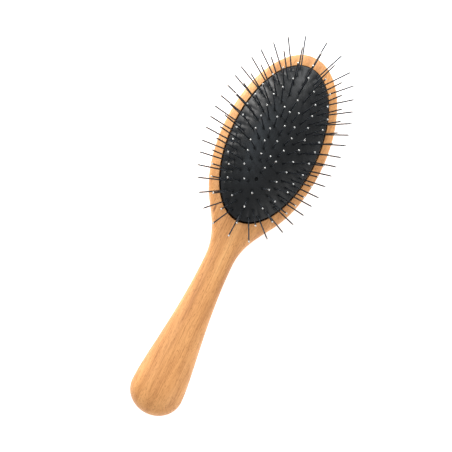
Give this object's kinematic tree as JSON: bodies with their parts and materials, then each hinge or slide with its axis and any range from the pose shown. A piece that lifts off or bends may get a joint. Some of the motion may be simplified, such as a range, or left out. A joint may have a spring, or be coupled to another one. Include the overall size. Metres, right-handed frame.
{
  "type": "cushion hair brush",
  "caption": "Wooden oval cushion hair brush: one carved body, a domed air-cushioned rubber pad and rings of round steel wire pins that give with it.",
  "frame": {"origin": "on the flat land of the wooden back, straight below the middle of the oval rubber cushion", "axes": "+X along the brush from the grip to the tip of the head, +Y across it, +Z out of the face through the pins"},
  "size_m": [0.2169, 0.0723, 0.0454],
  "materials": {
    "beech": "oiled, satin",
    "rubber": "smooth, semi-matte",
    "pin_steel": "polished wire"
  },
  "bodies": {
    "wooden_body": {"wooden_body": "beech", "rubber_cushion": "rubber"},
    "pins_ring1_01": {"pins_ring1_01": "pin_steel"},
    "pins_ring1_02": {"pins_ring1_02": "pin_steel"},
    "pins_ring1_03": {"pins_ring1_03": "pin_steel"},
    "pins_ring1_04": {"pins_ring1_04": "pin_steel"},
    "pins_ring1_05": {"pins_ring1_05": "pin_steel"},
    "pins_ring1_06": {"pins_ring1_06": "pin_steel"},
    "pins_ring1_07": {"pins_ring1_07": "pin_steel"},
    "pins_ring1_08": {"pins_ring1_08": "pin_steel"},
    "pins_ring1_09": {"pins_ring1_09": "pin_steel"},
    "pins_ring1_10": {"pins_ring1_10": "pin_steel"},
    "pins_ring2_01": {"pins_ring2_01": "pin_steel"},
    "pins_ring2_02": {"pins_ring2_02": "pin_steel"},
    "pins_ring2_03": {"pins_ring2_03": "pin_steel"},
    "pins_ring2_04": {"pins_ring2_04": "pin_steel"},
    "pins_ring2_05": {"pins_ring2_05": "pin_steel"},
    "pins_ring2_06": {"pins_ring2_06": "pin_steel"},
    "pins_ring2_07": {"pins_ring2_07": "pin_steel"},
    "pins_ring2_08": {"pins_ring2_08": "pin_steel"},
    "pins_ring3_01": {"pins_ring3_01": "pin_steel"},
    "pins_ring3_02": {"pins_ring3_02": "pin_steel"},
    "pins_ring3_03": {"pins_ring3_03": "pin_steel"},
    "pins_ring3_04": {"pins_ring3_04": "pin_steel"},
    "pins_ring3_05": {"pins_ring3_05": "pin_steel"},
    "pins_ring3_06": {"pins_ring3_06": "pin_steel"},
    "pins_ring3_07": {"pins_ring3_07": "pin_steel"},
    "pins_ring4_01": {"pins_ring4_01": "pin_steel"},
    "pins_ring4_02": {"pins_ring4_02": "pin_steel"},
    "pins_ring4_03": {"pins_ring4_03": "pin_steel"},
    "pins_ring4_04": {"pins_ring4_04": "pin_steel"},
    "pins_ring4_05": {"pins_ring4_05": "pin_steel"},
    "pins_ring4_06": {"pins_ring4_06": "pin_steel"},
    "pins_ring5_01": {"pins_ring5_01": "pin_steel"},
    "pins_ring5_02": {"pins_ring5_02": "pin_steel"},
    "pins_ring5_03": {"pins_ring5_03": "pin_steel"},
    "pins_ring5_04": {"pins_ring5_04": "pin_steel"},
    "pins_middle_row": {"pins_middle_row": "pin_steel"}
  },
  "joints": [
    {"name": "cushion_press", "type": "slide", "parent": "wooden_body", "child": "pins_middle_row", "axis": [0, 0, -1], "range_m": [0, 0.004], "stiffness_N_per_m": 200, "deforming": ["rubber_cushion"]},
    {"name": "pins_ring1_01_give", "type": "hinge", "parent": "wooden_body", "child": "pins_ring1_01", "pos_m": [0.04211, 0.00697, 0.01812], "axis": [0.4666, -0.8845, 0], "range_deg": [0, 19.67], "stiffness_Nm_per_rad": 0.002},
    {"name": "pins_ring1_02_give", "type": "hinge", "parent": "wooden_body", "child": "pins_ring1_02", "pos_m": [0.02514, 0.01972, 0.01877], "axis": [0.933, -0.3599, 0], "range_deg": [0, 20.55], "stiffness_Nm_per_rad": 0.002},
    {"name": "pins_ring1_03_give", "type": "hinge", "parent": "wooden_body", "child": "pins_ring1_03", "pos_m": [0.00387, 0.02394, 0.01912], "axis": [0.9988, -0.0488, 0], "range_deg": [0, 20.69], "stiffness_Nm_per_rad": 0.002},
    {"name": "pins_ring1_04_give", "type": "hinge", "parent": "wooden_body", "child": "pins_ring1_04", "pos_m": [-0.01793, 0.02193, 0.01895], "axis": [0.9708, 0.2399, 0], "range_deg": [0, 20.63], "stiffness_Nm_per_rad": 0.002},
    {"name": "pins_ring1_05_give", "type": "hinge", "parent": "wooden_body", "child": "pins_ring1_05", "pos_m": [-0.0378, 0.01229, 0.01832], "axis": [0.7247, 0.689, 0], "range_deg": [0, 20.15], "stiffness_Nm_per_rad": 0.002},
    {"name": "pins_ring1_06_give", "type": "hinge", "parent": "wooden_body", "child": "pins_ring1_06", "pos_m": [-0.04219, -0.00698, 0.01812], "axis": [-0.4508, 0.8926, 0], "range_deg": [0, 18.72], "stiffness_Nm_per_rad": 0.002},
    {"name": "pins_ring1_07_give", "type": "hinge", "parent": "wooden_body", "child": "pins_ring1_07", "pos_m": [-0.02526, -0.02001, 0.01877], "axis": [-0.9322, 0.3619, 0], "range_deg": [0, 18.22], "stiffness_Nm_per_rad": 0.002},
    {"name": "pins_ring1_08_give", "type": "hinge", "parent": "wooden_body", "child": "pins_ring1_08", "pos_m": [-0.00389, -0.02439, 0.01912], "axis": [-0.9988, 0.049, 0], "range_deg": [0, 17.92], "stiffness_Nm_per_rad": 0.00232},
    {"name": "pins_ring1_09_give", "type": "hinge", "parent": "wooden_body", "child": "pins_ring1_09", "pos_m": [0.01802, -0.02231, 0.01895], "axis": [-0.9705, -0.2411, 0], "range_deg": [0, 18.06], "stiffness_Nm_per_rad": 0.002},
    {"name": "pins_ring1_10_give", "type": "hinge", "parent": "wooden_body", "child": "pins_ring1_10", "pos_m": [0.03792, -0.01239, 0.01832], "axis": [-0.7183, -0.6958, 0], "range_deg": [0, 18.6], "stiffness_Nm_per_rad": 0.002},
    {"name": "pins_ring2_01_give", "type": "hinge", "parent": "wooden_body", "child": "pins_ring2_01", "pos_m": [0.0401, 0.0089, 0.01984], "axis": [0.5138, -0.8579, 0], "range_deg": [0, 15.77], "stiffness_Nm_per_rad": 0.0055},
    {"name": "pins_ring2_02_give", "type": "hinge", "parent": "wooden_body", "child": "pins_ring2_02", "pos_m": [0.01611, 0.02267, 0.02075], "axis": [0.9708, -0.2401, 0], "range_deg": [0, 17.33], "stiffness_Nm_per_rad": 0.00809},
    {"name": "pins_ring2_03_give", "type": "hinge", "parent": "wooden_body", "child": "pins_ring2_03", "pos_m": [-0.01102, 0.02381, 0.02087], "axis": [0.9876, 0.1571, 0], "range_deg": [0, 17.45], "stiffness_Nm_per_rad": 0.00849},
    {"name": "pins_ring2_04_give", "type": "hinge", "parent": "wooden_body", "child": "pins_ring2_04", "pos_m": [-0.03439, 0.0148, 0.02011], "axis": [0.7684, 0.64, 0], "range_deg": [0, 16.61], "stiffness_Nm_per_rad": 0.00602},
    {"name": "pins_ring2_05_give", "type": "hinge", "parent": "wooden_body", "child": "pins_ring2_05", "pos_m": [-0.04056, -0.00901, 0.01984], "axis": [-0.4926, 0.8703, 0], "range_deg": [0, 14.53], "stiffness_Nm_per_rad": 0.00649},
    {"name": "pins_ring2_06_give", "type": "hinge", "parent": "wooden_body", "child": "pins_ring2_06", "pos_m": [-0.01648, -0.02408, 0.02075], "axis": [-0.9701, 0.2429, 0], "range_deg": [0, 14.11], "stiffness_Nm_per_rad": 0.01221},
    {"name": "pins_ring2_07_give", "type": "hinge", "parent": "wooden_body", "child": "pins_ring2_07", "pos_m": [0.01128, -0.02536, 0.02087], "axis": [-0.9874, -0.1581, 0], "range_deg": [0, 14.06], "stiffness_Nm_per_rad": 0.01307},
    {"name": "pins_ring2_08_give", "type": "hinge", "parent": "wooden_body", "child": "pins_ring2_08", "pos_m": [0.03495, -0.01536, 0.02011], "axis": [-0.761, -0.6487, 0], "range_deg": [0, 14.52], "stiffness_Nm_per_rad": 0.00786},
    {"name": "pins_ring3_01_give", "type": "hinge", "parent": "wooden_body", "child": "pins_ring3_01", "pos_m": [0.04012, 0.01294, 0.02153], "axis": [0.5624, -0.8269, 0], "range_deg": [0, 10.53], "stiffness_Nm_per_rad": 0.03249},
    {"name": "pins_ring3_02_give", "type": "hinge", "parent": "wooden_body", "child": "pins_ring3_02", "pos_m": [0.01191, 0.02707, 0.02264], "axis": [0.9819, -0.1895, 0], "range_deg": [0, 11.9], "stiffness_Nm_per_rad": 0.03953},
    {"name": "pins_ring3_03_give", "type": "hinge", "parent": "wooden_body", "child": "pins_ring3_03", "pos_m": [-0.01735, 0.02589, 0.02251], "axis": [0.9591, 0.2831, 0], "range_deg": [0, 11.82], "stiffness_Nm_per_rad": 0.03824},
    {"name": "pins_ring3_04_give", "type": "hinge", "parent": "wooden_body", "child": "pins_ring3_04", "pos_m": [-0.04436, 0.00593, 0.02137], "axis": [0.2671, 0.9637, 0], "range_deg": [0, 9.73], "stiffness_Nm_per_rad": 0.03516},
    {"name": "pins_ring3_05_give", "type": "hinge", "parent": "wooden_body", "child": "pins_ring3_05", "pos_m": [-0.02781, -0.02541, 0.02219], "axis": [-0.8856, 0.4645, 0], "range_deg": [0, 9.44], "stiffness_Nm_per_rad": 0.05324},
    {"name": "pins_ring3_06_give", "type": "hinge", "parent": "wooden_body", "child": "pins_ring3_06", "pos_m": [0.00286, -0.03221, 0.02275], "axis": [-0.9991, -0.0422, 0], "range_deg": [0, 9.24], "stiffness_Nm_per_rad": 0.0681},
    {"name": "pins_ring3_07_give", "type": "hinge", "parent": "wooden_body", "child": "pins_ring3_07", "pos_m": [0.03366, -0.0216, 0.02193], "axis": [-0.7966, -0.6045, 0], "range_deg": [0, 9.48], "stiffness_Nm_per_rad": 0.04753},
    {"name": "pins_ring4_01_give", "type": "hinge", "parent": "wooden_body", "child": "pins_ring4_01", "pos_m": [0.04838, 0.02342, 0.02301], "axis": [0.5941, -0.8044, 0], "range_deg": [0, 5.66], "stiffness_Nm_per_rad": 0.20166},
    {"name": "pins_ring4_02_give", "type": "hinge", "parent": "wooden_body", "child": "pins_ring4_02", "pos_m": [0.00685, 0.04116, 0.02404], "axis": [0.9945, -0.1052, 0], "range_deg": [0, 6.44], "stiffness_Nm_per_rad": 0.21101},
    {"name": "pins_ring4_03_give", "type": "hinge", "parent": "wooden_body", "child": "pins_ring4_03", "pos_m": [-0.03471, 0.03316, 0.02346], "axis": [0.8295, 0.5585, 0], "range_deg": [0, 6.11], "stiffness_Nm_per_rad": 0.20005},
    {"name": "pins_ring4_04_give", "type": "hinge", "parent": "wooden_body", "child": "pins_ring4_04", "pos_m": [-0.05317, -0.02516, 0.02301], "axis": [-0.5619, 0.8272, 0], "range_deg": [0, 4.9], "stiffness_Nm_per_rad": 0.26895},
    {"name": "pins_ring4_05_give", "type": "hinge", "parent": "wooden_body", "child": "pins_ring4_05", "pos_m": [-0.00795, -0.05123, 0.02404], "axis": [-0.9944, 0.106, 0], "range_deg": [0, 4.91], "stiffness_Nm_per_rad": 0.36312},
    {"name": "pins_ring4_06_give", "type": "hinge", "parent": "wooden_body", "child": "pins_ring4_06", "pos_m": [0.03934, -0.03907, 0.02346], "axis": [-0.8217, -0.5699, 0], "range_deg": [0, 4.94], "stiffness_Nm_per_rad": 0.3061},
    {"name": "pins_ring5_01_give", "type": "hinge", "parent": "wooden_body", "child": "pins_ring5_01", "pos_m": [0.11045, 0.07832, 0.02426], "axis": [0.614, -0.7893, 0], "range_deg": [0, 1.76], "stiffness_Nm_per_rad": 3.0482},
    {"name": "pins_ring5_02_give", "type": "hinge", "parent": "wooden_body", "child": "pins_ring5_02", "pos_m": [-0.05015, 0.10981, 0.02448], "axis": [0.9242, 0.3819, 0], "range_deg": [0, 1.95], "stiffness_Nm_per_rad": 2.6148},
    {"name": "pins_ring5_03_give", "type": "hinge", "parent": "wooden_body", "child": "pins_ring5_03", "pos_m": [-0.1319, -0.0845, 0.02426], "axis": [-0.5676, 0.8233, 0], "range_deg": [0, 1.5], "stiffness_Nm_per_rad": 4.1713},
    {"name": "pins_ring5_04_give", "type": "hinge", "parent": "wooden_body", "child": "pins_ring5_04", "pos_m": [0.06409, -0.13899, 0.02448], "axis": [-0.9196, -0.3928, 0], "range_deg": [0, 1.52], "stiffness_Nm_per_rad": 4.3011}
  ],
  "couplings": [
    {"joint": "pins_ring1_01_give", "follows": "cushion_press", "rad_per_m": 85.818},
    {"joint": "pins_ring1_02_give", "follows": "cushion_press", "rad_per_m": 89.657},
    {"joint": "pins_ring1_03_give", "follows": "cushion_press", "rad_per_m": 90.268},
    {"joint": "pins_ring1_04_give", "follows": "cushion_press", "rad_per_m": 90.006},
    {"joint": "pins_ring1_05_give", "follows": "cushion_press", "rad_per_m": 87.912},
    {"joint": "pins_ring1_06_give", "follows": "cushion_press", "rad_per_m": 81.673},
    {"joint": "pins_ring1_07_give", "follows": "cushion_press", "rad_per_m": 79.492},
    {"joint": "pins_ring1_08_give", "follows": "cushion_press", "rad_per_m": 78.183},
    {"joint": "pins_ring1_09_give", "follows": "cushion_press", "rad_per_m": 78.794},
    {"joint": "pins_ring1_10_give", "follows": "cushion_press", "rad_per_m": 81.15},
    {"joint": "pins_ring2_01_give", "follows": "cushion_press", "rad_per_m": 68.803},
    {"joint": "pins_ring2_02_give", "follows": "cushion_press", "rad_per_m": 75.609},
    {"joint": "pins_ring2_03_give", "follows": "cushion_press", "rad_per_m": 76.132},
    {"joint": "pins_ring2_04_give", "follows": "cushion_press", "rad_per_m": 72.468},
    {"joint": "pins_ring2_05_give", "follows": "cushion_press", "rad_per_m": 63.393},
    {"joint": "pins_ring2_06_give", "follows": "cushion_press", "rad_per_m": 61.56},
    {"joint": "pins_ring2_07_give", "follows": "cushion_press", "rad_per_m": 61.342},
    {"joint": "pins_ring2_08_give", "follows": "cushion_press", "rad_per_m": 63.349},
    {"joint": "pins_ring3_01_give", "follows": "cushion_press", "rad_per_m": 45.941},
    {"joint": "pins_ring3_02_give", "follows": "cushion_press", "rad_per_m": 51.918},
    {"joint": "pins_ring3_03_give", "follows": "cushion_press", "rad_per_m": 51.569},
    {"joint": "pins_ring3_04_give", "follows": "cushion_press", "rad_per_m": 42.451},
    {"joint": "pins_ring3_05_give", "follows": "cushion_press", "rad_per_m": 41.186},
    {"joint": "pins_ring3_06_give", "follows": "cushion_press", "rad_per_m": 40.313},
    {"joint": "pins_ring3_07_give", "follows": "cushion_press", "rad_per_m": 41.36},
    {"joint": "pins_ring4_01_give", "follows": "cushion_press", "rad_per_m": 24.694},
    {"joint": "pins_ring4_02_give", "follows": "cushion_press", "rad_per_m": 28.097},
    {"joint": "pins_ring4_03_give", "follows": "cushion_press", "rad_per_m": 26.657},
    {"joint": "pins_ring4_04_give", "follows": "cushion_press", "rad_per_m": 21.378},
    {"joint": "pins_ring4_05_give", "follows": "cushion_press", "rad_per_m": 21.422},
    {"joint": "pins_ring4_06_give", "follows": "cushion_press", "rad_per_m": 21.553},
    {"joint": "pins_ring5_01_give", "follows": "cushion_press", "rad_per_m": 7.6787},
    {"joint": "pins_ring5_02_give", "follows": "cushion_press", "rad_per_m": 8.5076},
    {"joint": "pins_ring5_03_give", "follows": "cushion_press", "rad_per_m": 6.5443},
    {"joint": "pins_ring5_04_give", "follows": "cushion_press", "rad_per_m": 6.6316}
  ]
}
